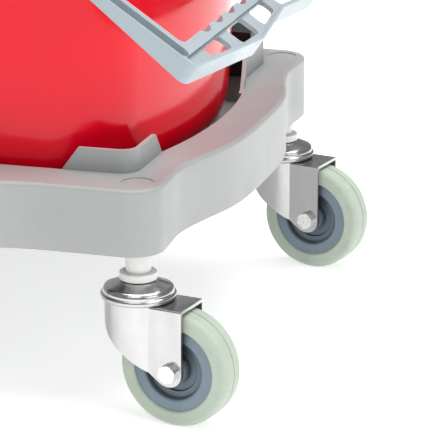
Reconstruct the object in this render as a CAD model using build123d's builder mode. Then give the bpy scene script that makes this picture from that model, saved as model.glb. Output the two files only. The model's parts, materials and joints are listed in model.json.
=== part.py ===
"""Mop trolley: wheeled base, oval bucket with bail, press wringer, push handle and mop.

Units are millimetres, +Z up. Every piece is drawn about the middle of the base, with the
floor at Z = 0, +X along the long side and +Y towards the push handle. The finished pieces
are then shifted so that the origin is under the middle of the whole object.
"""

import os
from math import acos, cos, pi, radians, sin, sqrt, tan

from build123d import *

# ---- driving dimensions -------------------------------------------------------------
ORIGIN_X = 15.817        # middle of the whole object, measured from the middle of the base
ORIGIN_Y = 109.598

STEM_X = 188.0           # caster stems, half spacing along X
STEM_Y = 166.0           # caster stems, half spacing along Y

WHEEL_R = 37.5
WHEEL_W = 23.0
HUB_R = 27.1
TRAIL = 29.4             # caster stem to axle
AXLE_R = 4.0
FORK_IN = 13.5           # half gap between the fork plates
FORK_T = 2.0
CROWN_R = 21.5           # rounded front of the fork
FORK_TOP = 78.4
PLATE_END = 37.6         # caster stem to the fork's rear edge
STEM_R = 4.5
BUSH_R = 8.1

BASE_Z = 110.0           # underside of the base
LEDGE_Z = 153.0          # top of the ledge around the bucket
FLOOR_Z = 120.0          # top of the floor that the bucket stands on
WALL = 4.0
LUG_TOP = 168.0
LUG_T = 2.6
OPEN_Y = 151.0           # opening for the bucket, half width at its corners

BUCKET_Y0 = -2.0         # middle of the bucket
BUCKET_A = 185.0         # half length where the side starts to flare
BUCKET_B = 147.0         # half width there
END_BULGE = 34.0
SIDE_BULGE = 6.0
CORNER_R = 60.0
HEEL_R = 36.0            # rounding between the sides and the bottom
FLARE = 2.65             # degrees
BUCKET_T = 3.0
BUCKET_Z = 120.5
HEEL_Z = BUCKET_Z + HEEL_R
RIM_Z = 408.0

PIVOT_Z = 382.0          # bail pivots
BAIL_DROP = 34.0         # degrees below level, where the bail rests
BAIL_TOP = 5.9           # top of the rims above the line through the pivots
BAIL_LOW = 8.2           # depth of the rims below that line, at the grip
BAIL_OUT = 180.0         # outer face of each arm
BAIL_IN = 161.5          # inner face of each arm
PIN_R = 5.0

LEAN = 13.5              # push handle, degrees from upright
TUBE_R = 12.5
TUBE_X = 130.0
TUBE_FOOT = (170.0, 173.0)   # Y and Z of the point that the lean is measured from
HANDLE_LEN = 745.0

BASKET_X = (-158.0, -14.0)
BASKET_Y = 106.0
BASKET_Z = 296.0
WING_Z = RIM_Z + 0.3
WING_T = 4.0
SHAFT_X = -80.0
MODULE = 3.5
TEETH = 24
PITCH_R = MODULE * TEETH / 2
PRESSURE = radians(20)
RACK_PITCH_Z = WING_Z + WING_T + 12.0
SHAFT_Z = RACK_PITCH_Z + PITCH_R
PINION_Y = (116.0, 126.0)
CHEEK_Y = (129.0, 134.0)
LEVER_Y = (137.0, 143.0)
LEVER_LEN = 230.0
LEVER_REST = 5.0         # degrees that the lever leans towards the bail at rest

MOP_X = -TUBE_X
MOP_Y = 366.0
CLIP_Z = 800.0

CORNERS = {
    "front_right": (1, -1, -9.7),
    "rear_right": (1, 1, -11.4),
    "front_left": (-1, -1, -8.0),
    "rear_left": (-1, 1, -13.0),
}

parts = {}


def keep(part, name, spot=Location()):
    """Label a finished piece and keep it in the object's own frame."""
    placed = part.moved(Location((-ORIGIN_X, -ORIGIN_Y, 0)) * spot)
    placed.label = name
    parts[name] = placed


# ---- base ---------------------------------------------------------------------------
LOBE_X = STEM_X + 16.8   # outer edge beside a caster
LOBE_Y = STEM_Y + 20.0
NECK_Y = 131.0
NECK_X = LOBE_X - 1.4
END_X = 223.0            # middle of each end
SIDE_Y = 206.0           # middle of each long side
SHOULDER_X = 137.0
EDGE_R = 2.6
WELL_R = 12.0


def base_edge(inset=0.0):
    """The edge of the base, built as one quarter and mirrored."""
    lobe_x = LOBE_X - inset
    lobe_y = LOBE_Y - inset
    radius = 21 - inset
    with BuildLine() as edge:
        Spline((0, SIDE_Y - inset), (SHOULDER_X - 32, lobe_y + 3.4), (SHOULDER_X, lobe_y),
               tangents=[(1, 0), (1, 0)])
        Line((SHOULDER_X, lobe_y), (lobe_x - radius, lobe_y))
        RadiusArc((lobe_x - radius, lobe_y), (lobe_x, lobe_y - radius), radius)
        Spline((lobe_x, lobe_y - radius), (NECK_X - inset, NECK_Y), (213.5 - inset, 86),
               (END_X - inset, 0), tangents=[(0, -1), (0, -1)])
        mirror(about=Plane.XZ)
        mirror(about=Plane.YZ)
    return edge.line


def opening_edge(inset=0.0):
    """The edge of the well that the bucket stands in."""
    corner_x = 181.0 - inset
    corner_y = OPEN_Y - inset
    with BuildLine() as edge:
        ThreePointArc((-corner_x, corner_y), (0, corner_y + 3), (corner_x, corner_y))
        Line((corner_x, corner_y), (corner_x + 0.5, 97))
        ThreePointArc((corner_x + 0.5, 97), (194.5 - inset, 0), (corner_x + 0.5, -97))
        Line((corner_x + 0.5, -97), (corner_x, -corner_y))
        ThreePointArc((corner_x, -corner_y), (0, -corner_y - 3), (-corner_x, -corner_y))
        Line((-corner_x, -corner_y), (-corner_x - 0.5, -97))
        ThreePointArc((-corner_x - 0.5, -97), (-194.5 + inset, 0), (-corner_x - 0.5, 97))
        Line((-corner_x - 0.5, 97), (-corner_x, corner_y))
    return edge.line


def well_corners(sketch):
    """The four outer corners of the well's sketch, which are rounded."""
    return sketch.vertices().filter_by(lambda v: abs(v.X) > 170 and abs(v.Y) > 120)


stems = [(sx * STEM_X, sy * STEM_Y) for sx, sy, _ in CORNERS.values()]

with BuildPart() as base_tray:
    with BuildSketch(Plane.XY.offset(BASE_Z)):
        add(base_edge())
        make_face()
    extrude(amount=LEDGE_Z - BASE_Z)
    fillet(base_tray.faces().sort_by(Axis.Z)[-1].edges(), EDGE_R)
    # the well for the bucket
    with BuildSketch(Plane.XY.offset(FLOOR_Z)) as well:
        add(opening_edge())
        make_face()
        fillet(well_corners(well), WELL_R)
    extrude(amount=60, mode=Mode.SUBTRACT)
    # hollow underside between the outer wall and the well, with bosses and ribs left in
    with BuildSketch(Plane.XY.offset(BASE_Z)):
        add(base_edge(WALL))
        make_face()
        with BuildSketch(mode=Mode.SUBTRACT):
            add(opening_edge(-WALL))
            make_face()
        with Locations(*stems):
            Circle(15, mode=Mode.SUBTRACT)
        for sx, sy, _ in CORNERS.values():
            with Locations((sx * 100, sy * 180)):
                Rectangle(3, 80, mode=Mode.SUBTRACT)
            with Locations((sx * 205, sy * 60)):
                Rectangle(80, 3, mode=Mode.SUBTRACT)
    extrude(amount=LEDGE_Z - WALL - BASE_Z, mode=Mode.SUBTRACT)
    # floor relief under the bucket
    with BuildSketch(Plane.XY.offset(BASE_Z)):
        RectangleRounded(320, 250, 30)
    extrude(amount=FLOOR_Z - BASE_Z - 5, mode=Mode.SUBTRACT)
    # locating lugs at the corners of the well
    with BuildSketch(Plane.XY.offset(FLOOR_Z - 1)) as lug_ring:
        add(opening_edge(-0.2))
        make_face()
        fillet(well_corners(lug_ring), WELL_R)
        with BuildSketch(mode=Mode.SUBTRACT) as inside:
            add(opening_edge(LUG_T))
            make_face()
            fillet(well_corners(inside), WELL_R - LUG_T)
        with BuildSketch(mode=Mode.INTERSECT):
            for side in (1, -1):
                with Locations((side * 164, -128)):
                    Rectangle(60, 62)
                with Locations((side * 184, 108)):
                    Rectangle(24, 102)
    extrude(amount=LUG_TOP - FLOOR_Z + 1)
    # slanted ends of the lugs: each cut's foot and top, first along X, then along Y
    with BuildSketch(Plane.XZ.offset(120)):
        for side in (1, -1):
            with BuildLine():
                Polyline((side * 130, LEDGE_Z), (side * 133.5, LEDGE_Z), (side * 149.5, 175),
                         (side * 130, 175), close=True)
            make_face()
    extrude(amount=40, mode=Mode.SUBTRACT)
    with BuildSketch(Plane.YZ.offset(-200)):
        for end, foot, top in ((-90, -97, -115), (55, 64, 100)):
            with BuildLine():
                Polyline((end, LEDGE_Z), (foot, LEDGE_Z), (top, 175), (end, 175), close=True)
            make_face()
    extrude(amount=400, mode=Mode.SUBTRACT)
    # shallow dimple over each caster, and the socket under it
    with Locations(*[(x, y, LEDGE_Z) for x, y in stems]):
        Cylinder(10.5, 1.2, mode=Mode.SUBTRACT)
    with Locations(*[(x, y, BASE_Z) for x, y in stems]):
        Cylinder(BUSH_R, 35, align=(Align.CENTER, Align.CENTER, Align.MIN),
                 mode=Mode.SUBTRACT)
keep(base_tray.part, "base_tray")

# ---- casters ------------------------------------------------------------------------
# One caster is drawn with its stem on the Z axis and its wheel trailing along +X.
BOLT_HEAD = 4.6
DOME_TOP = 90.2
BUSH_FOOT = DOME_TOP + 0.3

with BuildPart() as bush:
    with Locations((0, 0, BUSH_FOOT)):
        Cylinder(12, 5.2, align=(Align.CENTER, Align.CENTER, Align.MIN))
    fillet(bush.edges().filter_by(GeomType.CIRCLE), 1)
    with Locations((0, 0, BUSH_FOOT + 3)):
        Cylinder(BUSH_R, BASE_Z + 34 - BUSH_FOOT - 3,
                 align=(Align.CENTER, Align.CENTER, Align.MIN))
    with Locations((0, 0, BUSH_FOOT - 1)):
        Cylinder(STEM_R, 52, align=(Align.CENTER, Align.CENTER, Align.MIN),
                 mode=Mode.SUBTRACT)

with BuildPart() as stem:
    with Locations((0, 0, 74)):
        Cylinder(STEM_R, 66, align=(Align.CENTER, Align.CENTER, Align.MIN))
    with Locations((0, 0, 73.4)):
        Cylinder(7, 2.6, align=(Align.CENTER, Align.CENTER, Align.MIN))

with BuildPart() as dome:
    with BuildSketch(Plane.XZ):
        with BuildLine():
            bore = STEM_R + 0.06
            Polyline((bore, DOME_TOP), (bore, FORK_TOP), (10, FORK_TOP), (10.5, 85.5), (18, 85),
                     (20, FORK_TOP), (22.3, FORK_TOP), (23.2, 78.9))
            ThreePointArc((23.2, 78.9), (24.1, 80.4), (23.7, 82.2))
            Line((23.7, 82.2), (22.7, 82.8))
            ThreePointArc((22.7, 82.8), (22.2, 85.5), (20, 87.2))
            Polyline((20, 87.2), (12.6, DOME_TOP), (bore, DOME_TOP))
        make_face()
    revolve(axis=Axis.Z)

with BuildPart() as balls:
    with PolarLocations(14.6, 12):
        with Locations((0, 0, 81.6)):
            Sphere(2.9)

with BuildPart() as fork:
    with BuildSketch(Plane.XY.offset(20)):
        Circle(CROWN_R)
        with Locations((20, 0)):
            Rectangle(40, 2 * (FORK_IN + FORK_T))
    extrude(amount=FORK_TOP - 20)
    with BuildSketch(Plane.XY.offset(20)):
        Circle(CROWN_R - FORK_T)
        with Locations((30, 0)):
            Rectangle(60, 2 * FORK_IN)
    extrude(amount=FORK_TOP - FORK_T - 20, mode=Mode.SUBTRACT)
    # side view of the plates
    with BuildSketch(Plane.XZ):
        with BuildLine():
            Line((-CROWN_R - 1, FORK_TOP), (PLATE_END, FORK_TOP))
            Line((PLATE_END, FORK_TOP), (PLATE_END, WHEEL_R))
            ThreePointArc((PLATE_END, WHEEL_R), (35.2, 30.6), (TRAIL, 27.9))
            ThreePointArc((TRAIL, 27.9), (25, 28.5), (21.4, 30.6))
            Line((21.4, 30.6), (-4.5, 50))
            Spline((-4.5, 50), (-15.5, 60.5), (-CROWN_R - 1, 74), tangents=[(-1.33, 1), (-0.4, 1)])
            Line((-CROWN_R - 1, 74), (-CROWN_R - 1, FORK_TOP))
        make_face()
    extrude(amount=40, both=True, mode=Mode.INTERSECT)
    fillet(fork.edges().filter_by(Axis.X).group_by(Axis.Z)[-1], 1.2)
    with Locations((0, 0, FORK_TOP)):
        Cylinder(STEM_R + 0.06, 12, mode=Mode.SUBTRACT)
    with Locations(Plane.XZ * Location((TRAIL, WHEEL_R, 0))):
        Cylinder(AXLE_R + 0.05, 60, mode=Mode.SUBTRACT)

with BuildPart() as axle_bolt:
    with Locations(Plane.XZ * Location((TRAIL, WHEEL_R, 0))):
        Cylinder(AXLE_R, 2 * (FORK_IN + FORK_T) + 8)
    for near in (FORK_IN + FORK_T, -FORK_IN - FORK_T - BOLT_HEAD):
        with BuildSketch(Plane.XZ.offset(near)):
            with Locations((TRAIL, WHEEL_R)):
                RegularPolygon(6.4, 6, rotation=20)
                Circle(5.9, mode=Mode.INTERSECT)
        extrude(amount=BOLT_HEAD)

with BuildPart() as hub:
    with BuildSketch(Plane.XY):
        with BuildLine():
            Polyline((AXLE_R + 0.08, -12.6), (9.3, -12.6), (9.8, -5), (14.6, -5),
                     (15, -6.4), (18.4, -6.8), (19.6, -10.2), (20.6, -10.8),
                     (HUB_R, -10.4), (HUB_R, 10.4), (20.6, 10.8), (19.6, 10.2),
                     (18.4, 6.8), (15, 6.4), (14.6, 5), (9.8, 5), (9.3, 12.6),
                     (AXLE_R + 0.08, 12.6), close=True)
        make_face()
    revolve(axis=Axis.Y)

with BuildPart() as tyre:
    half = WHEEL_W / 2
    with BuildSketch(Plane.XY):
        with BuildLine():
            Line((HUB_R, -half + 0.8), (HUB_R + 1, -half))
            Line((HUB_R + 1, -half), (WHEEL_R - 4.6, -half + 0.5))
            ThreePointArc((WHEEL_R - 4.6, -half + 0.5), (WHEEL_R - 1.2, -half + 2),
                          (WHEEL_R - 0.25, -half + 5.6))
            Line((WHEEL_R - 0.25, -half + 5.6), (WHEEL_R, -0.6))
            Line((WHEEL_R, -0.6), (WHEEL_R - 0.6, -0.4))
            Line((WHEEL_R - 0.6, -0.4), (WHEEL_R - 0.6, 0))
            Line((WHEEL_R - 0.6, 0), (HUB_R, 0))
            Line((HUB_R, 0), (HUB_R, -half + 0.8))
        make_face()
        mirror(about=Plane.XZ)
    revolve(axis=Axis.Y)

wheel_spot = Location((TRAIL, 0, WHEEL_R))
for corner, (side_x, side_y, turn) in CORNERS.items():
    spot = Location((side_x * STEM_X, side_y * STEM_Y, 0), (0, 0, turn))
    keep(bush.part, f"stem_bush_{corner}", spot)
    keep(stem.part, f"stem_{corner}", spot)
    keep(dome.part, f"swivel_dome_{corner}", spot)
    keep(balls.part, f"swivel_balls_{corner}", spot)
    keep(fork.part, f"fork_{corner}", spot)
    keep(axle_bolt.part, f"axle_bolt_{corner}", spot)
    keep(hub.part, f"hub_{corner}", spot * wheel_spot)
    keep(tyre.part, f"tyre_{corner}", spot * wheel_spot)


# ---- bucket -------------------------------------------------------------------------
def bucket_section(height, inset):
    """Outline of the bucket at one height, as a sketch."""
    grow = (height - HEEL_Z) * tan(radians(FLARE)) if height > HEEL_Z else 0
    below = max(HEEL_Z - height, 0)
    shrink = HEEL_R - sqrt(HEEL_R**2 - below**2) if below < HEEL_R else HEEL_R
    a = BUCKET_A + grow - shrink - inset
    b = BUCKET_B + grow - shrink - inset
    radius = max(CORNER_R - shrink - inset, 14)
    with BuildSketch(Plane((0, BUCKET_Y0, height))) as section:
        with BuildLine():
            ThreePointArc((a - END_BULGE, -b + SIDE_BULGE), (a, 0), (a - END_BULGE, b - SIDE_BULGE))
            ThreePointArc((a - END_BULGE, b - SIDE_BULGE), (0, b), (END_BULGE - a, b - SIDE_BULGE))
            ThreePointArc((END_BULGE - a, b - SIDE_BULGE), (-a, 0), (END_BULGE - a, -b + SIDE_BULGE))
            ThreePointArc((END_BULGE - a, -b + SIDE_BULGE), (0, -b), (a - END_BULGE, -b + SIDE_BULGE))
        make_face()
        fillet(section.vertices(), radius)
    return section.sketch


heel_steps = [BUCKET_Z + 6, 130, 135, 141, 148, HEEL_Z]
outer_sections = [bucket_section(z, 0) for z in heel_steps]
inner_sections = [bucket_section(z, BUCKET_T) for z in heel_steps[1:]]

with BuildPart() as bucket:
    loft(outer_sections)
    loft([bucket_section(HEEL_Z, 0), bucket_section(RIM_Z, 0)])
    # standing foot
    extrude(bucket_section(BUCKET_Z + 6, 4), amount=-6)
    loft(inner_sections, mode=Mode.SUBTRACT)
    loft([bucket_section(HEEL_Z, BUCKET_T), bucket_section(RIM_Z + 0.01, BUCKET_T)],
         mode=Mode.SUBTRACT)
    # rolled rim
    extrude(bucket_section(RIM_Z - 8, -1.8) - bucket_section(RIM_Z - 8, 2.5), amount=8)
    # bosses that carry the bail pins
    for side in (1, -1):
        with BuildSketch(Plane.XZ.offset(-BUCKET_Y0 - side * 154)):
            with Locations((0, PIVOT_Z)):
                Circle(16)
        extrude(amount=-side * 6)
    with Locations(Plane.XZ * Location((0, PIVOT_Z, 0))):
        Cylinder(PIN_R, 400, mode=Mode.SUBTRACT)
keep(bucket.part, "bucket")

with BuildPart() as bail_pins:
    for side in (1, -1):
        with BuildSketch(Plane.XZ.offset(-BUCKET_Y0 - side * 150)):
            with Locations((0, PIVOT_Z)):
                Circle(PIN_R - 0.06)
        extrude(amount=-side * 32)
        for start in (148, BAIL_OUT + 0.5):
            with BuildSketch(Plane.XZ.offset(-BUCKET_Y0 - side * start)):
                with Locations((0, PIVOT_Z)):
                    Circle(9)
            extrude(amount=-side * 3)
keep(bail_pins.part, "bail_pins")

# ---- bail ---------------------------------------------------------------------------
# Drawn level, with its pivots on the Y axis and its arms along +X.
GRIP_IN = 258.0
GRIP_CORNER = 275.0
KNEE = (288.0, 68.0)
GRIP_MID = 280.5
RIM_IN = 266.0           # outer edge of the grip's inner rim
RIM_T = 1.8
WEB_TOP = 3.2
WEB_T = 3.0
ARM_X = (200.0, 270.0)   # the arms deepen between these
ARM_LOW = 1.2
HOLE_PITCH = 50.0
NOTCH_PITCH = 26.0
NOTCH_R = 11.0
EYE_R = 14.0


def grip_edge(across):
    """X of the grip's outer edge at a distance from the middle."""
    across = abs(across)
    if across > KNEE[1]:
        share = (across - KNEE[1]) / (BAIL_OUT - KNEE[1])
        return KNEE[0] + (GRIP_CORNER - KNEE[0]) * share
    return GRIP_MID + (KNEE[0] - GRIP_MID) * across / KNEE[1]


def grip_pocket(wall, inner, ends):
    """Outline of a pocket in the grip, between the inner rim and the outer edge."""
    with BuildLine() as outline:
        Polyline((inner, -ends), (grip_edge(ends) - wall, -ends), (KNEE[0] - wall, -KNEE[1]),
                 (GRIP_MID - wall, 0), (KNEE[0] - wall, KNEE[1]),
                 (grip_edge(ends) - wall, ends), (inner, ends), close=True)
    return outline.line


with BuildPart() as bail_handle:
    with BuildSketch(Plane.XY.offset(-BAIL_LOW)) as bail_plan:
        with BuildLine():
            Polyline((0, -BAIL_OUT), (GRIP_CORNER, -BAIL_OUT), (KNEE[0], -KNEE[1]),
                     (GRIP_MID, 0), (KNEE[0], KNEE[1]), (GRIP_CORNER, BAIL_OUT),
                     (0, BAIL_OUT), (0, BAIL_IN), (GRIP_IN, BAIL_IN), (GRIP_IN, -BAIL_IN),
                     (0, -BAIL_IN), close=True)
        make_face()
        fillet(bail_plan.vertices().filter_by(lambda v: v.X > GRIP_CORNER - 1
                                              and abs(v.Y) > BAIL_IN), 7)
        fillet(bail_plan.vertices().filter_by(lambda v: abs(v.X - GRIP_IN) < 1), 5)
        fillet(bail_plan.vertices().filter_by(lambda v: abs(v.X - KNEE[0]) < 1), 30)
    extrude(amount=BAIL_LOW + BAIL_TOP)
    # the arms are shallow and deepen towards the grip
    with BuildSketch(Plane.XZ):
        with BuildLine():
            Polyline((-EYE_R, BAIL_TOP), (300, BAIL_TOP), (300, -BAIL_LOW),
                     (ARM_X[1], -BAIL_LOW), (ARM_X[0], -ARM_LOW), (-EYE_R, -ARM_LOW), close=True)
        make_face()
    extrude(amount=BAIL_OUT + 5, both=True, mode=Mode.INTERSECT)
    # round eyes at the pivots
    with Locations(Plane.XZ.offset(-BAIL_IN) * Location((0, 0, 0)),
                   Plane.XZ.offset(BAIL_OUT) * Location((0, 0, 0))):
        Cylinder(EYE_R, BAIL_OUT - BAIL_IN,
                 align=(Align.CENTER, Align.CENTER, Align.MAX))
    with Locations(Plane.XZ * Location((0, 0, 0))):
        Cylinder(PIN_R + 0.04, 2 * BAIL_OUT + 2, mode=Mode.SUBTRACT)
    # channel in the top of each arm
    channel_in = BAIL_IN + 6
    channel_out = BAIL_OUT - RIM_T
    with BuildSketch(Plane.XY.offset(BAIL_TOP)):
        for side in (1, -1):
            with Locations((144, side * (channel_in + channel_out) / 2)):
                RectangleRounded(244, channel_out - channel_in, 4.5)
    extrude(amount=-BAIL_TOP - ARM_LOW + 2.2, mode=Mode.SUBTRACT)
    # thin web along the grip, sunk between its rims and hollow below
    with BuildSketch(Plane.XY.offset(BAIL_TOP)):
        add(grip_pocket(RIM_T, RIM_IN, BAIL_OUT - RIM_T - 2))
        make_face()
    extrude(amount=WEB_TOP - BAIL_TOP, mode=Mode.SUBTRACT)
    with BuildSketch(Plane.XY.offset(-BAIL_LOW)):
        add(grip_pocket(RIM_T + 0.6, GRIP_IN + 6.5, BAIL_IN - 4))
        make_face()
    extrude(amount=BAIL_LOW + WEB_TOP - WEB_T, mode=Mode.SUBTRACT)
    # lightening holes through the web
    with BuildSketch(Plane.XY.offset(-BAIL_LOW)):
        for index in range(6):
            near = (index - 2.5) * HOLE_PITCH - 17
            far = near + 34
            with BuildSketch(mode=Mode.PRIVATE) as hole:
                with BuildLine():
                    Polyline((RIM_IN + 1, near), (grip_edge(near) - 4.5, near),
                             (grip_edge(far) - 4.5, far), (RIM_IN + 1, far), close=True)
                make_face()
                fillet(hole.vertices(), 3.6)
            add(hole.sketch)
    extrude(amount=2 * BAIL_LOW, mode=Mode.SUBTRACT)
    # finger notches along the inner edge
    with BuildSketch(Plane.XY.offset(-BAIL_LOW)):
        for index in range(10):
            with Locations((GRIP_IN - NOTCH_R + 4, (index - 4.5) * NOTCH_PITCH)):
                Circle(NOTCH_R)
    extrude(amount=2 * BAIL_LOW, mode=Mode.SUBTRACT)
keep(bail_handle.part, "bail_handle", Location((0, BUCKET_Y0, PIVOT_Z), (0, BAIL_DROP, 0)))

# ---- wringer ------------------------------------------------------------------------
basket_mid = (BASKET_X[0] + BASKET_X[1]) / 2
basket_len = BASKET_X[1] - BASKET_X[0]
wing_top = WING_Z + WING_T

with BuildPart() as wringer_basket:
    with BuildSketch(Plane.XY.offset(BASKET_Z)):
        with Locations((basket_mid, BUCKET_Y0)):
            RectangleRounded(basket_len - 8, 2 * BASKET_Y - 8, 8)
    with BuildSketch(Plane.XY.offset(wing_top)):
        with Locations((basket_mid, BUCKET_Y0)):
            RectangleRounded(basket_len, 2 * BASKET_Y, 8)
    loft()
    with BuildSketch(Plane.XY.offset(WING_Z)):
        with Locations((basket_mid - 4, BUCKET_Y0)):
            RectangleRounded(basket_len + 12, 2 * 157, 10)
    extrude(amount=WING_T)
    with BuildSketch(Plane.XY.offset(BASKET_Z + 4)):
        with Locations((basket_mid, BUCKET_Y0)):
            RectangleRounded(basket_len - 16, 2 * BASKET_Y - 16, 6)
    with BuildSketch(Plane.XY.offset(wing_top + 1)):
        with Locations((basket_mid, BUCKET_Y0)):
            RectangleRounded(basket_len - 8, 2 * BASKET_Y - 8, 6)
    loft(mode=Mode.SUBTRACT)
    # drain slots in the fixed end and in the floor
    with BuildSketch(Plane.YZ.offset(BASKET_X[1] - 20)):
        for row in range(3):
            with Locations(*[(BUCKET_Y0 + (i - 4) * 22, BASKET_Z + 26 + row * 32)
                             for i in range(9)]):
                SlotOverall(24, 7, rotation=90)
    extrude(amount=30, mode=Mode.SUBTRACT)
    with BuildSketch(Plane.XY.offset(BASKET_Z - 1)):
        with Locations((basket_mid, BUCKET_Y0)):
            with GridLocations(20, 24, 6, 8):
                SlotOverall(18, 7, rotation=90)
    extrude(amount=8, mode=Mode.SUBTRACT)
    # cheeks that carry the pinion shafts
    for side in (1, -1):
        with BuildSketch(Plane.XZ.offset(-BUCKET_Y0 - side * CHEEK_Y[0])):
            with BuildLine():
                Polyline((SHAFT_X - 34, wing_top - 1), (SHAFT_X + 34, wing_top - 1),
                         (SHAFT_X + 15, SHAFT_Z + 4), (SHAFT_X - 15, SHAFT_Z + 4), close=True)
            make_face()
            with Locations((SHAFT_X, SHAFT_Z)):
                Circle(16)
        extrude(amount=-side * (CHEEK_Y[1] - CHEEK_Y[0]))
    with Locations(Plane.XZ * Location((SHAFT_X, SHAFT_Z, 0))):
        Cylinder(8.05, 300, mode=Mode.SUBTRACT)
    # end guides for the racks
    for side in (1, -1):
        with Locations((BASKET_X[0] + 2, BUCKET_Y0 + side * (PINION_Y[0] + 13), wing_top + 4)):
            Box(12, 5, 10)
keep(wringer_basket.part, "wringer_basket")


def involute(angle):
    return tan(angle) - angle


def tooth_outline(radius_pitch, teeth, backlash):
    """One gear tooth's flank angles against radius, from root to tip."""
    base = radius_pitch * cos(PRESSURE)
    half = pi / (2 * teeth) - backlash / (2 * radius_pitch)
    radii = [max(base, radius_pitch - 1.1 * MODULE)]
    tip = radius_pitch + 0.9 * MODULE
    radii += [radii[0] + (tip - radii[0]) * step / 5 for step in range(1, 6)]
    return [(r, half + involute(PRESSURE) - involute(acos(base / r))) for r in radii]


PINION_BACKLASH = 0.5

with BuildPart() as drive_pinions:
    flanks = tooth_outline(PITCH_R, TEETH, PINION_BACKLASH)
    root = PITCH_R - 1.2 * MODULE
    for side in (1, -1):
        start = BUCKET_Y0 + side * PINION_Y[0]
        with BuildSketch(Plane.XZ.offset(-start)):
            with Locations((SHAFT_X, SHAFT_Z)):
                Circle(root)
            for tooth in range(TEETH):
                middle = -pi / 2 + 2 * pi * tooth / TEETH
                left = [(SHAFT_X + r * cos(middle - a), SHAFT_Z + r * sin(middle - a))
                        for r, a in flanks]
                right = [(SHAFT_X + r * cos(middle + a), SHAFT_Z + r * sin(middle + a))
                         for r, a in reversed(flanks)]
                foot = [(SHAFT_X + (root - 2) * cos(middle + s * flanks[0][1]),
                         SHAFT_Z + (root - 2) * sin(middle + s * flanks[0][1])) for s in (1, -1)]
                with BuildLine():
                    Polyline(*left, *right, *foot, close=True)
                make_face()
            # spokes between the hub and the rim
            with Locations((SHAFT_X, SHAFT_Z)):
                with PolarLocations(23, 6):
                    Circle(7.5, mode=Mode.SUBTRACT)
                Circle(8.0, mode=Mode.SUBTRACT)
        extrude(amount=-side * (PINION_Y[1] - PINION_Y[0]))
keep(drive_pinions.part, "drive_pinions")

with BuildPart() as pinion_shafts:
    for side in (1, -1):
        with BuildSketch(Plane.XZ.offset(-BUCKET_Y0 - side * (PINION_Y[0] - 2))):
            with Locations((SHAFT_X, SHAFT_Z)):
                Circle(8.0)
        extrude(amount=-side * (LEVER_Y[1] + 4 - PINION_Y[0]))
keep(pinion_shafts.part, "pinion_shafts")

PLATE_X = BASKET_X[0] + 10
RACK_START = PLATE_X - 12
RACK_END = SHAFT_X + 18

with BuildPart() as press_racks:
    pitch = pi * MODULE
    half_top = pitch / 4 - 0.9 * MODULE * tan(PRESSURE) - PINION_BACKLASH / 4
    half_root = pitch / 4 + 1.1 * MODULE * tan(PRESSURE) - PINION_BACKLASH / 4
    top = RACK_PITCH_Z + 0.9 * MODULE
    bottom = RACK_PITCH_Z - 1.1 * MODULE
    for side in (1, -1):
        start = BUCKET_Y0 + side * PINION_Y[0]
        with BuildSketch(Plane.XZ.offset(-start)):
            with BuildLine():
                Polyline((RACK_START, wing_top + 0.4), (RACK_END, wing_top + 0.4),
                         (RACK_END, bottom), (RACK_START, bottom), close=True)
            make_face()
            count = int((SHAFT_X - RACK_START) / pitch)
            for index in range(-count, 2):
                middle = SHAFT_X + (index + 0.5) * pitch
                with BuildLine():
                    Polyline((middle - half_root, bottom - 0.5), (middle - half_root, bottom),
                             (middle - half_top, top), (middle + half_top, top),
                             (middle + half_root, bottom), (middle + half_root, bottom - 0.5),
                             close=True)
                make_face()
        extrude(amount=-side * (PINION_Y[1] - PINION_Y[0]))
keep(press_racks.part, "press_racks")

with BuildPart() as press_plate:
    plate_low = BASKET_Z + 14
    with BuildSketch(Plane.YZ.offset(PLATE_X)):
        with BuildLine():
            Polyline((BUCKET_Y0 - 95, plate_low), (BUCKET_Y0 + 95, plate_low),
                     (BUCKET_Y0 + 99, wing_top + 9), (BUCKET_Y0 - 99, wing_top + 9), close=True)
        make_face()
        for row in range(3):
            with Locations(*[(BUCKET_Y0 + (i - 3.5) * 22, BASKET_Z + 40 + row * 32)
                             for i in range(8)]):
                SlotOverall(24, 7, rotation=90, mode=Mode.SUBTRACT)
    extrude(amount=6)
    # yoke that joins the plate to its two racks and passes between the pinions
    yoke_low = wing_top + 8.2
    with Locations((PLATE_X + 5, BUCKET_Y0, yoke_low)):
        Box(10, 2 * (PINION_Y[0] - 0.8), 8.8, align=(Align.CENTER, Align.CENTER, Align.MIN))
    for side in (1, -1):
        with Locations((PLATE_X + 5, BUCKET_Y0 + side * (PINION_Y[0] - 6), wing_top + 0.4)):
            Box(10, 12, yoke_low - wing_top - 0.4,
                align=(Align.CENTER, Align.CENTER, Align.MIN))
    # stiffening ribs down the back of the plate
    for side in (1, -1):
        with BuildSketch(Plane.XZ.offset(-BUCKET_Y0 - side * 60)):
            with BuildLine():
                Polyline((PLATE_X, wing_top + 16), (PLATE_X + 10, wing_top + 16),
                         (PLATE_X + 6, plate_low + 30), (PLATE_X, plate_low + 30), close=True)
            make_face()
        extrude(amount=side * 4)
keep(press_plate.part, "press_plate")

# The lever is drawn upright over its shaft, then leaned back.
with BuildPart() as wringer_lever:
    for side in (1, -1):
        with BuildSketch(Plane.XZ.offset(-side * LEVER_Y[0])):
            with BuildLine():
                Polyline((-11, 0), (11, 0), (7, LEVER_LEN), (-7, LEVER_LEN), close=True)
            make_face()
            Circle(14)
            with Locations((0, LEVER_LEN)):
                Circle(10)
            Circle(8.0, mode=Mode.SUBTRACT)
        extrude(amount=-side * (LEVER_Y[1] - LEVER_Y[0]))
    with Locations(Plane.XZ * Location((0, LEVER_LEN, 0))):
        Cylinder(8, 2 * LEVER_Y[0] + 2)

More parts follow.
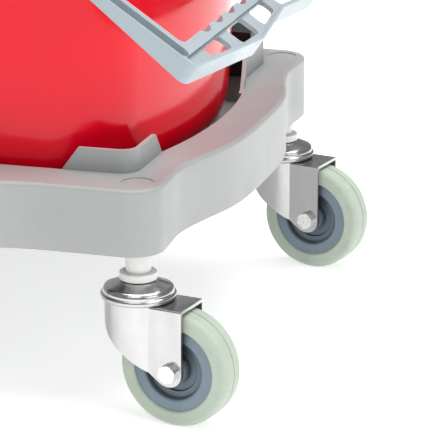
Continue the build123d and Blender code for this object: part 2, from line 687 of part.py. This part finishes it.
with BuildPart() as lever_grip:
    with Locations(Plane.XZ * Location((0, LEVER_LEN, 0))):
        Cylinder(14, 130)
    fillet(lever_grip.edges(), 4)
    with Locations(Plane.XZ * Location((0, LEVER_LEN, 0))):
        Cylinder(8.0, 140, mode=Mode.SUBTRACT)
    with Locations(*[Plane.XZ * Location((0, LEVER_LEN, (i - 3) * 15)) for i in range(7)]):
        Torus(15.5, 2.6, mode=Mode.SUBTRACT)

lever_spot = Location((SHAFT_X, BUCKET_Y0, SHAFT_Z), (0, LEVER_REST, 0))
keep(wringer_lever.part, "wringer_lever", lever_spot)
keep(lever_grip.part, "lever_grip", lever_spot)

# ---- push handle --------------------------------------------------------------------
lean_plane = Plane(origin=(0, TUBE_FOOT[0], TUBE_FOOT[1]), x_dir=(1, 0, 0),
                   z_dir=(0, -cos(radians(LEAN)), sin(radians(LEAN))))
BEND_R = 50.0
SOCKET_LEN = 62.0

with BuildPart() as push_handle:
    with BuildLine(lean_plane) as route:
        FilletPolyline((-TUBE_X, -8), (-TUBE_X, HANDLE_LEN), (TUBE_X, HANDLE_LEN), (TUBE_X, -8),
                       radius=BEND_R)
    with BuildSketch(Plane(origin=route.line @ 0, z_dir=route.line % 0)):
        Circle(TUBE_R)
        Circle(TUBE_R - 1.5, mode=Mode.SUBTRACT)
    sweep(path=route.line)
keep(push_handle.part, "push_handle")

crossbar = lean_plane.location * Location((0, HANDLE_LEN, 0), (0, 90, 0))
with BuildPart() as push_grip:
    Cylinder(17, 140)
    fillet(push_grip.edges(), 4)
    Cylinder(TUBE_R, 150, mode=Mode.SUBTRACT)
keep(push_grip.part, "push_grip", crossbar)

def tube_plane(side, along):
    """A plane square to one of the handle's tubes, at a distance along it."""
    return Plane(lean_plane.location * Location((side * TUBE_X, along, 0), (-90, 0, 0)))


CARRIER_X = 170.0
CARRIER_TOP = 173.0
with BuildPart() as handle_carrier:
    with BuildSketch(Plane.YZ.offset(-CARRIER_X)):
        with BuildLine():
            Polyline((147.3, 140), (150.7, 140), (150.7, LEDGE_Z + 0.2), (180, LEDGE_Z + 0.2),
                     (180, CARRIER_TOP - 4), (176, CARRIER_TOP), (147.3, CARRIER_TOP), close=True)
        make_face()
    extrude(amount=2 * CARRIER_X)
    for side in (1, -1):
        with BuildSketch(tube_plane(side, -14)):
            Circle(TUBE_R + 6)
        extrude(amount=SOCKET_LEN + 14)
    # seat on the ledge
    with BuildSketch(Plane.XY.offset(LEDGE_Z - 40)):
        with Locations((0, 182.85)):
            Rectangle(500, 64.3)
    extrude(amount=40.2, mode=Mode.SUBTRACT)
    for side in (1, -1):
        with BuildSketch(tube_plane(side, -8)):
            Circle(TUBE_R)
        extrude(amount=SOCKET_LEN + 20, mode=Mode.SUBTRACT)

with BuildPart() as clamp_screws:
    for side in (1, -1):
        knob = Plane(lean_plane.location * Location((side * TUBE_X, 38, 0), (180, 0, 0)))
        with BuildSketch(knob.offset(TUBE_R)):
            Circle(4)
        extrude(amount=8)
        with BuildSketch(knob.offset(TUBE_R + 6.5)):
            RegularPolygon(7, 6)
        extrude(amount=5.5)
keep(clamp_screws.part, "clamp_screws")
keep(handle_carrier.part - clamp_screws.part, "handle_carrier")

# ---- mop ----------------------------------------------------------------------------
tube_at_clip = TUBE_FOOT[0] + (CLIP_Z - TUBE_FOOT[1]) * tan(radians(LEAN))
with BuildPart() as mop_clip:
    with Locations((MOP_X, tube_at_clip, CLIP_Z)):
        Box(38, 38, 22)
    with Locations((MOP_X, (tube_at_clip + MOP_Y) / 2, CLIP_Z)):
        Box(18, MOP_Y - tube_at_clip, 22)
    with Locations((MOP_X, MOP_Y, CLIP_Z)):
        Cylinder(15, 22)
    with Locations((MOP_X, MOP_Y, CLIP_Z)):
        Cylinder(11.3, 30, mode=Mode.SUBTRACT)
    with Locations((MOP_X, MOP_Y + 12, CLIP_Z)):
        Box(15, 16, 30, mode=Mode.SUBTRACT)
clip_bore = lean_plane.location * Location((MOP_X, 600, 0), (-90, 0, 0))
keep(mop_clip.part - clip_bore * Cylinder(TUBE_R, 400), "mop_clip")

mop_spot = Location((MOP_X, MOP_Y, 0))
POLE_FOOT = 232.0
COLLAR_Z = CLIP_Z + 11.0
with BuildPart() as mop_pole:
    with Locations((0, 0, POLE_FOOT)):
        Cylinder(11, COLLAR_Z + 30 - POLE_FOOT, align=(Align.CENTER, Align.CENTER, Align.MIN))
        Cylinder(9.8, 1000, align=(Align.CENTER, Align.CENTER, Align.MIN), mode=Mode.SUBTRACT)
keep(mop_pole.part, "mop_pole", mop_spot)

with BuildPart() as pole_collar:
    with Locations((0, 0, COLLAR_Z)):
        Cylinder(16, 46, align=(Align.CENTER, Align.CENTER, Align.MIN))
    fillet(pole_collar.edges().group_by(Axis.Z)[-1], 4)
    with Locations((0, 0, COLLAR_Z - 1)):
        Cylinder(11, 31, align=(Align.CENTER, Align.CENTER, Align.MIN), mode=Mode.SUBTRACT)
    with Locations((0, 0, COLLAR_Z + 20)):
        Cylinder(9.05, 40, align=(Align.CENTER, Align.CENTER, Align.MIN), mode=Mode.SUBTRACT)
    with PolarLocations(16.5, 16):
        with Locations((0, 0, COLLAR_Z + 22)):
            Cylinder(1.2, 30, mode=Mode.SUBTRACT)
keep(pole_collar.part, "pole_collar", mop_spot)

POLE_TOP = 1150.0
GRIP_SEAT = POLE_TOP - 32
HANG_HOLE_Z = POLE_TOP - 15
with BuildPart() as pole_extension:
    with Locations((0, 0, 380)):
        Cylinder(9, GRIP_SEAT - 380, align=(Align.CENTER, Align.CENTER, Align.MIN))
        Cylinder(7.8, 1000, align=(Align.CENTER, Align.CENTER, Align.MIN), mode=Mode.SUBTRACT)
keep(pole_extension.part, "pole_extension", mop_spot)

with BuildPart() as pole_grip:
    with Locations((0, 0, POLE_TOP - 130)):
        Cylinder(13.5, 130, align=(Align.CENTER, Align.CENTER, Align.MIN))
    fillet(pole_grip.edges().group_by(Axis.Z)[-1], 8)
    fillet(pole_grip.edges().group_by(Axis.Z)[0], 2)
    with Locations((0, 0, POLE_TOP - 131)):
        Cylinder(9, GRIP_SEAT - POLE_TOP + 131, align=(Align.CENTER, Align.CENTER, Align.MIN),
                 mode=Mode.SUBTRACT)
    # flattened end with a hole to hang the mop by
    for side in (1, -1):
        with Locations((0, side * 21, POLE_TOP)):
            Box(40, 20, 56, mode=Mode.SUBTRACT)
    with Locations(Plane.XZ * Location((0, HANG_HOLE_Z, 0))):
        Cylinder(4, 60, mode=Mode.SUBTRACT)
keep(pole_grip.part, "pole_grip", mop_spot)

with BuildPart() as mop_socket:
    with BuildSketch(Plane.XY.offset(196)):
        RectangleRounded(70, 26, 8)
    with BuildSketch(Plane.XY.offset(232)):
        Circle(15)
    loft()
    with Locations((0, 0, 232)):
        Cylinder(15, 40, align=(Align.CENTER, Align.CENTER, Align.MIN))
        Cylinder(11, 45, align=(Align.CENTER, Align.CENTER, Align.MIN), mode=Mode.SUBTRACT)
keep(mop_socket.part, "mop_socket", mop_spot)

with BuildPart() as mop_clamp:
    with BuildSketch(Plane.XY.offset(176)):
        RectangleRounded(122, 30, 10)
    extrude(amount=20)
    fillet(mop_clamp.edges().filter_by(Axis.Z, reverse=True), 2)
keep(mop_clamp.part, "mop_clamp", mop_spot)

with BuildPart() as mop_yarn:
    for low, long_side, short_side in ((24, 176, 104), (90, 184, 116), (176, 112, 34)):
        with BuildSketch(Plane.XY.offset(low)):
            RectangleRounded(long_side, short_side, short_side / 2.4)
    loft()
keep(mop_yarn.part, "mop_yarn", mop_spot)

# ---- write --------------------------------------------------------------------------
os.makedirs("parts", exist_ok=True)
for name, part in parts.items():
    export_step(part, f"parts/{name}.step")
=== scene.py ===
"""Looks of the mop trolley: materials, mop yarns, floor, light and camera."""

import json
import math
import random

import bpy
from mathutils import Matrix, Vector


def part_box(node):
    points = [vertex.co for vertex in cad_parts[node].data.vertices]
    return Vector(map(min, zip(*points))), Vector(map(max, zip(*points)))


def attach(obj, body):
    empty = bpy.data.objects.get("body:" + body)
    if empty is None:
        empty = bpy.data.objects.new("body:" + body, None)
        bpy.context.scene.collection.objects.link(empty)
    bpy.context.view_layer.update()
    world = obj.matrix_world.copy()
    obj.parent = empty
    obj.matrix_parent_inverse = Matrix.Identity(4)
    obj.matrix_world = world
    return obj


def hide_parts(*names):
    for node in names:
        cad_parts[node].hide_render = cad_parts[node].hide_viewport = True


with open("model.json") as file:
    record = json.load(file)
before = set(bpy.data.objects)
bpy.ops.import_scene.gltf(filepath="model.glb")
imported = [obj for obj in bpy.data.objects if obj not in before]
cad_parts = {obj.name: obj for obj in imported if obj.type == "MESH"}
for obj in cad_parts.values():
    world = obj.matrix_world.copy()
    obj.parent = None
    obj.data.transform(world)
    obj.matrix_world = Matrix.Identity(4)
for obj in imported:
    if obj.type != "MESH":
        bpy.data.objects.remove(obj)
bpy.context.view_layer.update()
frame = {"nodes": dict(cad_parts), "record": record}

# ---- camera -------------------------------------------------------------------------
# The camera was fitted in a frame whose origin is the front right caster's stem.
stem_low, stem_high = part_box("stem_front_right")
stem = (stem_low + stem_high) / 2
CAMERA_FROM_STEM = Vector((0.5417, -1.6289, 0.6676))
CAMERA_AZIMUTH = 16.8    # degrees
CAMERA_DOWN = 17.34      # degrees
LENS = 242.9             # millimetres
SENSOR = 36

camera_data = bpy.data.cameras.new("camera")
camera = bpy.data.objects.new("camera", camera_data)
bpy.context.scene.collection.objects.link(camera)
camera.location = Vector((stem.x, stem.y, 0)) + CAMERA_FROM_STEM
camera.rotation_euler = (math.radians(90 - CAMERA_DOWN), 0, math.radians(CAMERA_AZIMUTH))
camera_data.lens = LENS
camera_data.sensor_width = SENSOR
camera_data.clip_start = 0.05
camera_data.clip_end = 50
bpy.context.scene.camera = camera


# ---- materials ----------------------------------------------------------------------
PAINTED_SIDE_SHADE = (0.8, 0.8, 0.8)    # painted shade: share of the colour left on faces that don't look up


class Shader:
    """A small helper around one material's node tree."""

    def __init__(self, name):
        self.material = bpy.data.materials.new(name)
        self.material.use_nodes = True
        self.nodes = self.material.node_tree.nodes
        self.links = self.material.node_tree.links
        self.bsdf = self.nodes["Principled BSDF"]
        self.place = self.nodes.new("ShaderNodeTexCoord").outputs["Object"]
        self.height = None

    def set(self, **values):
        """Give shader sockets constant values; an underscore stands for a space."""
        for key, value in values.items():
            self.bsdf.inputs[key.replace("_", " ")].default_value = value

    def stretch(self, scale):
        """The object's coordinates, scaled by a different amount along each axis."""
        node = self.nodes.new("ShaderNodeMapping")
        node.inputs["Scale"].default_value = scale
        self.links.new(self.place, node.inputs["Vector"])
        return node.outputs["Vector"]

    def noise(self, scale, detail=4.0, rough=0.5, stretch=None):
        """A soft random pattern over the object, about `scale` features to the metre."""
        node = self.nodes.new("ShaderNodeTexNoise")
        node.inputs["Scale"].default_value = scale
        node.inputs["Detail"].default_value = detail
        node.inputs["Roughness"].default_value = rough
        self.links.new(self.stretch(stretch) if stretch else self.place, node.inputs["Vector"])
        return node.outputs["Fac"]

    def cells(self, scale):
        """Distance to the nearest of many scattered points, as in a crystalline surface."""
        node = self.nodes.new("ShaderNodeTexVoronoi")
        node.inputs["Scale"].default_value = scale
        self.links.new(self.place, node.inputs["Vector"])
        return node.outputs["Distance"]

    def ramp(self, value, low, high, start=0.35, end=0.65):
        """Map a value between two colours or two numbers."""
        node = self.nodes.new("ShaderNodeValToRGB")
        for stop, colour, place in zip(node.color_ramp.elements, (low, high), (start, end)):
            stop.position = place
            stop.color = (*colour, 1) if isinstance(colour, tuple) else (colour,) * 3 + (1,)
        self.links.new(value, node.inputs["Fac"])
        return node.outputs["Color"]

    def multiply(self, first, second):
        node = self.nodes.new("ShaderNodeMix")
        node.data_type = "RGBA"
        node.blend_type = "MULTIPLY"
        node.inputs["Factor"].default_value = 1
        self.links.new(first, node.inputs["A"])
        self.links.new(second, node.inputs["B"])
        return node.outputs["Result"]

    def painted_recess_shade(self, distance, dark):
        """Painted shade in recesses, from ambient occlusion, as a factor for the colour."""
        node = self.nodes.new("ShaderNodeAmbientOcclusion")
        node.samples = 8
        node.inputs["Distance"].default_value = distance
        return self.ramp(node.outputs["AO"], dark, 1.0, 0.15, 0.85)

    def painted_top_light(self, side, top):
        """Painted light and shade: a colour that changes on faces that look up, so tops and sides
        differ as if lit from above.
        """
        normal = self.nodes.new("ShaderNodeNewGeometry").outputs["Normal"]
        split = self.nodes.new("ShaderNodeSeparateXYZ")
        self.links.new(normal, split.inputs["Vector"])
        return self.ramp(split.outputs["Z"], side, top, 0.3, 0.95)

    def colour(self, value):
        self.links.new(value, self.bsdf.inputs["Base Color"])

    def roughness(self, value):
        self.links.new(value, self.bsdf.inputs["Roughness"])

    def bump(self, value, distance, strength=1.0):
        """Lay a relief `distance` metres high over the ones laid before."""
        node = self.nodes.new("ShaderNodeBump")
        node.inputs["Distance"].default_value = distance
        node.inputs["Strength"].default_value = strength
        self.links.new(value, node.inputs["Height"])
        if self.height is not None:
            self.links.new(self.height, node.inputs["Normal"])
        self.height = node.outputs["Normal"]
        self.links.new(self.height, self.bsdf.inputs["Normal"])


def shade(colour, factor):
    return tuple(min(c * factor, 1) for c in colour)


def plastic(name, colour, rough=0.38, grain=0.00002, mottle=0.04, painted_recess_shade=0.8, top=None):
    """Moulded plastic: faint flow mottling, scuffed gloss and a fine surface grain, with painted
    shade in recesses and, where top is given, painted light and shade by how far faces look up.
    """
    s = Shader(name)
    flow = s.ramp(s.noise(9, 3), shade(colour, 1 - mottle), shade(colour, 1 + mottle))
    dust = s.ramp(s.noise(240, 5), 0.97, 1.0, 0.3, 0.6)
    # Painted shade: the colour is darkened in recesses by ambient occlusion.
    body = s.multiply(s.multiply(flow, dust), s.painted_recess_shade(0.016, painted_recess_shade))
    # Painted light and shade: side faces keep only part of the colour, faces that look up keep
    # about all of it.
    if top is not None:
        body = s.multiply(body, s.painted_top_light(PAINTED_SIDE_SHADE, top))
    s.colour(body)
    s.roughness(s.ramp(s.noise(38, 4, 0.5), rough - 0.05, rough + 0.06))
    s.bump(s.noise(1500, 2), grain, 0.5)
    s.bump(s.noise(18, 1), 0.0003, 0.2)
    return s.material


def red_plastic():
    """Glossy polypropylene: deep colour and slight waviness."""
    s = Shader("bucket_red")
    s.colour(s.ramp(s.noise(5, 3), (0.70, 0.0005, 0.010), (0.78, 0.001, 0.016)))
    s.roughness(s.ramp(s.noise(45, 4, 0.5), 0.10, 0.17))
    s.set(Specular_IOR_Level=0.3)
    s.bump(s.noise(9, 1), 0.0006, 0.3)
    return s.material


def chrome(name, colour=(0.54, 0.54, 0.54), rough=0.20, wave=0.0006):
    """Bright plating over pressed steel: pressing waves, light handling marks in the gloss, and a
    painted reflection of soft vertical smudges in the colour.
    """
    s = Shader(name)
    # Painted reflection: the colour darkens in soft vertical streaks, as uneven reflections
    # would.
    s.colour(s.ramp(s.noise(26, 3, 0.5, stretch=(1, 1, 0.35)), shade(colour, 0.80), colour))
    s.roughness(s.ramp(s.noise(120, 6, 0.6), rough - 0.04, rough + 0.07))
    s.set(Metallic=1.0)
    s.bump(s.noise(28, 2), wave, 0.3)
    s.bump(s.noise(700, 3), 0.00001)
    return s.material


def zinc():
    """Zinc plate: greyer, with a fine crystalline mottling."""
    s = Shader("zinc_steel")
    s.colour(s.ramp(s.cells(420), (0.62, 0.62, 0.60), (0.80, 0.80, 0.78), 0.1, 0.6))
    s.roughness(s.ramp(s.noise(160, 5), 0.22, 0.40))
    s.set(Metallic=1.0)
    s.bump(s.noise(900, 3), 0.00003)
    return s.material


def rubber(name, colour, rough=0.6, grain=0.00006, scale=900):
    """Moulded rubber: matt, slightly uneven, with a fine grain and scuffs."""
    s = Shader(name)
    base = s.ramp(s.noise(24, 4), shade(colour, 0.95), shade(colour, 1.03))
    scuff = s.ramp(s.noise(85, 7, 0.7), 0.90, 1.0, 0.32, 0.48)
    s.colour(s.multiply(base, scuff))
    s.roughness(s.ramp(s.noise(60, 5), rough - 0.08, rough + 0.1))
    s.bump(s.noise(scale, 4), grain)
    return s.material


def yarn():
    """Twisted cotton: fibres across the strand and small shade changes."""
    s = Shader("yarn")
    s.colour(s.ramp(s.noise(55, 6, 0.6), (0.66, 0.63, 0.56), (0.86, 0.84, 0.78)))
    s.set(Roughness=0.95, Sheen_Weight=0.3, Sheen_Roughness=0.5)
    s.bump(s.noise(1400, 5, 0.7), 0.0004)
    return s.material


SLOTS = {
    # Painted light: the base's top faces are drawn lighter than its sides.
    "base_grey": plastic("base_grey", (0.445, 0.46, 0.46), 0.42, top=(0.98, 1.0, 1.0)),
    "black_plastic": plastic("black_plastic", (0.016, 0.016, 0.017), 0.45, 0.00005, 0.1),
    "bucket_red": red_plastic(),
    "bail_blue_grey": plastic("bail_blue_grey", (0.35, 0.42, 0.45), 0.32),
    "wringer_blue_grey": plastic("wringer_blue_grey", (0.40, 0.49, 0.53), 0.36),
    "chrome": chrome("chrome"),
    "zinc_steel": zinc(),
    "nylon_white": plastic("nylon_white", (0.80, 0.80, 0.78), 0.35),
    "tyre_grey_green": rubber("tyre_grey_green", (0.43, 0.50, 0.42)),
    # Painted shade: the hub's recesses are darkened down to 0.08 of the colour by ambient
    # occlusion.
    "hub_blue_grey": plastic("hub_blue_grey", (0.165, 0.22, 0.265), 0.45, painted_recess_shade=0.08),
    "foam_black": rubber("foam_black", (0.02, 0.02, 0.02), 0.8, 0.0003, 600),
    "lever_steel": chrome("lever_steel", (0.66, 0.66, 0.66), 0.18),
    "pole_aluminium": chrome("pole_aluminium", (0.74, 0.75, 0.76), 0.30, 0.0001),
    "mop_blue": plastic("mop_blue", (0.02, 0.12, 0.36), 0.36),
    "yarn": yarn(),
}

slot_of = {s["node"]: s["material_slot"] for s in frame["record"]["subparts"]}
for name, node in frame["nodes"].items():
    for material_slot in node.material_slots:
        material_slot.material = SLOTS[slot_of[name]]


# ---- mop yarns ----------------------------------------------------------------------
def strand(path, radius, phase, verts, faces, sides=9, plies=3, turns_per_metre=55):
    """Add one twisted yarn along a path: plies show as lobes that wind round it."""
    first = len(verts)
    travelled = 0.0
    for index, point in enumerate(path):
        if index:
            travelled += (point - path[index - 1]).length
        ahead = path[min(index + 1, len(path) - 1)] - path[max(index - 1, 0)]
        side = ahead.cross(Vector((0.3, 1, 0.1))).normalized()
        other = ahead.cross(side).normalized()
        twist = phase + travelled * turns_per_metre * 2 * math.pi / plies
        for corner in range(sides):
            angle = 2 * math.pi * corner / sides
            reach = radius * (1 + 0.22 * math.cos(plies * (angle - twist)))
            verts.append(point + side * math.cos(angle) * reach + other * math.sin(angle) * reach)
    for ring in range(len(path) - 1):
        for corner in range(sides):
            a = first + ring * sides + corner
            b = first + ring * sides + (corner + 1) % sides
            faces.append((a, b, b + sides, a + sides))
    faces.append(tuple(first + i for i in reversed(range(sides))))
    last = first + (len(path) - 1) * sides
    faces.append(tuple(last + i for i in range(sides)))


YARN_RADIUS = 0.0031
YARN_ROWS = (17, 7)           # along and across the clamp
CLAMP_HALF = (0.052, 0.0125)  # the yarns leave the clamp within this
PATH_STEPS = 36


def mop_head():
    """Separate twisted yarns that fill the plain mop head's box."""
    low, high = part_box("mop_yarn")
    middle = (low + high) / 2
    half_x = (high.x - low.x) / 2
    half_y = (high.y - low.y) / 2
    rng = random.Random(7)
    verts, faces = [], []
    across, deep = YARN_ROWS
    for i in range(across):
        for j in range(deep):
            u = (i + 0.5) / across * 2 - 1
            v = (j + 0.5) / deep * 2 - 1
            top = Vector((middle.x + u * CLAMP_HALF[0], middle.y + v * CLAMP_HALF[1], high.z))
            swell = 0.93 + 0.05 * rng.random()
            edge = math.sqrt(max(1 - 0.25 * u * u * v * v, 0))
            foot_x = middle.x + u * (half_x - YARN_RADIUS * 2) * swell * edge
            foot_y = middle.y + v * (half_y - YARN_RADIUS * 2) * swell * edge
            foot = low.z + 0.004 + 0.022 * rng.random()
            bow = rng.uniform(-0.006, 0.006), rng.uniform(-0.006, 0.006)
            phase = rng.uniform(0, 6.28)
            path = []
            for step in range(PATH_STEPS + 1):
                t = step / PATH_STEPS
                spread = math.sin(min(t * 1.25, 1) * math.pi / 2) ** 1.1
                sway = math.sin(t * math.pi)
                path.append(Vector((
                    top.x + (foot_x - top.x) * spread + bow[0] * sway,
                    top.y + (foot_y - top.y) * spread + bow[1] * sway,
                    top.z + (foot - top.z) * t,
                )))
            strand(path, YARN_RADIUS, phase, verts, faces)
    mesh = bpy.data.meshes.new("mop_strands")
    mesh.from_pydata([tuple(p) for p in verts], [], faces)
    mesh.polygons.foreach_set("use_smooth", [True] * len(mesh.polygons))
    piece = bpy.data.objects.new("mop_strands", mesh)
    bpy.context.scene.collection.objects.link(piece)
    mesh.materials.append(SLOTS["yarn"])
    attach(piece, "mop")
    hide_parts("mop_yarn")


mop_head()


# ---- floor, light and world ---------------------------------------------------------
def floor():
    """A plain pale floor that glows a little, so that it stays white in soft shadow."""
    mesh = bpy.data.meshes.new("floor")
    size = 12
    mesh.from_pydata([(-size, -size, 0), (size, -size, 0), (size, size, 0), (-size, size, 0)],
                     [], [(0, 1, 2, 3)])
    plane = bpy.data.objects.new("floor", mesh)
    bpy.context.scene.collection.objects.link(plane)
    s = Shader("floor")
    s.colour(s.ramp(s.noise(2, 2), (0.80, 0.80, 0.80), (0.83, 0.83, 0.83)))
    s.set(Roughness=0.9, Specular_IOR_Level=0.1, Emission_Strength=0.52)
    s.bsdf.inputs["Emission Color"].default_value = (1, 1, 1, 1)
    mesh.materials.append(s.material)


def area_light(name, place, target, size, power):
    """A rectangular softbox at a place, pointed at a target, with its power in watts."""
    data = bpy.data.lights.new(name, "AREA")
    data.shape = "RECTANGLE"
    data.size, data.size_y = size
    data.energy = power
    light = bpy.data.objects.new(name, data)
    bpy.context.scene.collection.objects.link(light)
    light.location = place
    light.rotation_euler = (Vector(target) - Vector(place)).to_track_quat("-Z", "Y").to_euler()


floor()
area_light("key", (3.0, -1.6, 1.9), (0, 0, 0.2), (2.4, 2.0), 26)
area_light("front", (0.3, -2.6, 2.4), (0, 0, 0.2), (2.0, 1.6), 16)
area_light("top", (0.2, 0.2, 3.0), (0, 0, 0.2), (3.0, 3.0), 150)

world = bpy.data.worlds.new("studio")
bpy.context.scene.world = world
world.use_nodes = True
background = world.node_tree.nodes["Background"]
background.inputs["Color"].default_value = (1, 1, 1, 1)
background.inputs["Strength"].default_value = 0.32
bpy.context.scene.view_settings.view_transform = "Standard"
